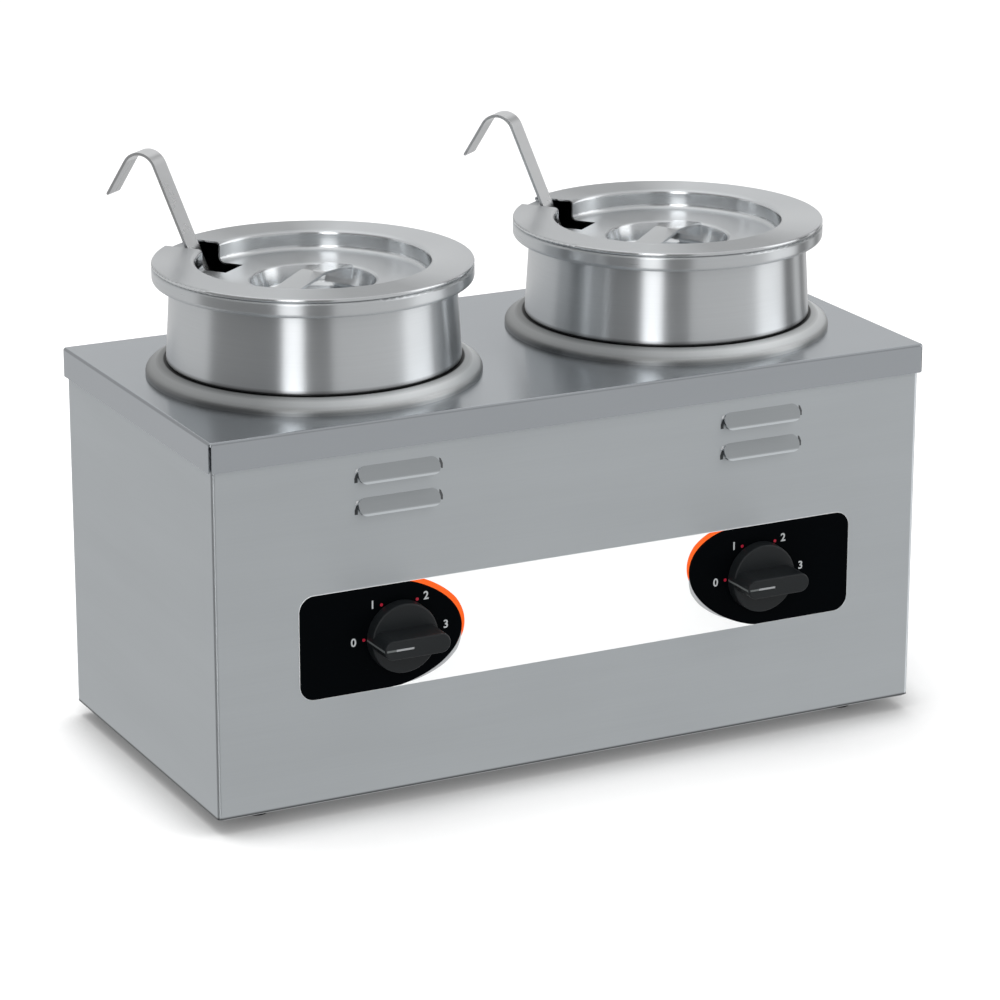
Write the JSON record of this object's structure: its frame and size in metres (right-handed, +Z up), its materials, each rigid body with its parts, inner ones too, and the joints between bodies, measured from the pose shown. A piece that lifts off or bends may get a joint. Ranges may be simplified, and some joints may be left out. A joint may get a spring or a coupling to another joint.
{
  "type": "countertop food warmer",
  "caption": "Box-shaped steel warmer with round heated wells, each holding a lidded inset with a ladle, and rotary heat knobs on the front.",
  "frame": {"origin": "middle of the footprint of the whole object, on the surface it stands on", "axes": "+Z up, +X to the right seen from the front, knobs facing -Y"},
  "size_m": [0.4444, 0.2434, 0.3384],
  "materials": {
    "body_steel": "brushed stainless",
    "ring_steel": "satin stainless",
    "pot_steel": "spun bright stainless",
    "ladle_steel": "polished stainless",
    "zinc_steel": "plated steel",
    "element_steel": "heat-darkened sheath",
    "foot_rubber": "matt",
    "label_film": "printed film",
    "knob_plastic": "moulded, satin",
    "black_plastic": "moulded",
    "ceramic": "glazed",
    "glass_wool": "fibre blanket",
    "brass_parts": "turned",
    "wire_cover": "woven glass sleeve"
  },
  "bodies": {
    "warmer": {"deck_cover": "body_steel", "body_shell": "body_steel", "rear_panel": "body_steel", "base_panel": "zinc_steel", "feet": "foot_rubber", "foot_screws": "zinc_steel", "foot_nuts": "zinc_steel", "rear_screws": "zinc_steel", "deck_screws": "zinc_steel", "base_screws": "zinc_steel", "control_label": "label_film", "switch_screws": "zinc_steel", "terminal_block": "ceramic", "terminal_screws": "brass_parts", "cord_gland": "black_plastic", "gland_nut": "black_plastic", "wiring": "wire_cover", "left_well": "zinc_steel", "left_well_ring": "ring_steel", "left_insulation": "glass_wool", "left_element": "element_steel", "left_clamp_bar": "zinc_steel", "left_clamp_stud": "zinc_steel", "left_clamp_nut": "zinc_steel", "left_limiter": "ceramic", "left_heat_switch": "black_plastic", "right_well": "zinc_steel", "right_well_ring": "ring_steel", "right_insulation": "glass_wool", "right_element": "element_steel", "right_clamp_bar": "zinc_steel", "right_clamp_stud": "zinc_steel", "right_clamp_nut": "zinc_steel", "right_limiter": "ceramic", "right_heat_switch": "black_plastic"},
    "left_control": {"left_knob": "knob_plastic", "left_knob_shaft": "brass_parts"},
    "left_inset": {"left_inset": "pot_steel"},
    "left_lid": {"left_lid": "pot_steel", "left_lid_handle": "pot_steel"},
    "left_ladle": {"left_ladle_bowl": "ladle_steel", "left_ladle_handle": "ladle_steel"},
    "right_control": {"right_knob": "knob_plastic", "right_knob_shaft": "brass_parts"},
    "right_inset": {"right_inset": "pot_steel"},
    "right_lid": {"right_lid": "pot_steel", "right_lid_handle": "pot_steel"},
    "right_ladle": {"right_ladle_bowl": "ladle_steel", "right_ladle_handle": "ladle_steel"}
  },
  "joints": [
    {"name": "left_knob_turn", "type": "hinge", "parent": "warmer", "child": "left_control", "pos_m": [-0.1113, -0.0972, 0.0995], "axis": [0, 1, 0], "range_deg": [0, 180]},
    {"name": "left_inset_lift", "type": "slide", "parent": "warmer", "child": "left_inset", "axis": [0, 0, 1], "range_m": [0, 0.18]},
    {"name": "left_lid_lift", "type": "slide", "parent": "left_inset", "child": "left_lid", "axis": [0, 0, 1], "range_m": [0, 0.12]},
    {"name": "left_ladle_pull", "type": "slide", "parent": "left_inset", "child": "left_ladle", "axis": [-0.2504, 0.3205, 0.9135], "range_m": [0, 0.13]},
    {"name": "right_knob_turn", "type": "hinge", "parent": "warmer", "child": "right_control", "pos_m": [0.1157, -0.0972, 0.0995], "axis": [0, 1, 0], "range_deg": [0, 180]},
    {"name": "right_inset_lift", "type": "slide", "parent": "warmer", "child": "right_inset", "axis": [0, 0, 1], "range_m": [0, 0.18]},
    {"name": "right_lid_lift", "type": "slide", "parent": "right_inset", "child": "right_lid", "axis": [0, 0, 1], "range_m": [0, 0.12]},
    {"name": "right_ladle_pull", "type": "slide", "parent": "right_inset", "child": "right_ladle", "axis": [-0.2504, 0.3205, 0.9135], "range_m": [0, 0.13]}
  ]
}
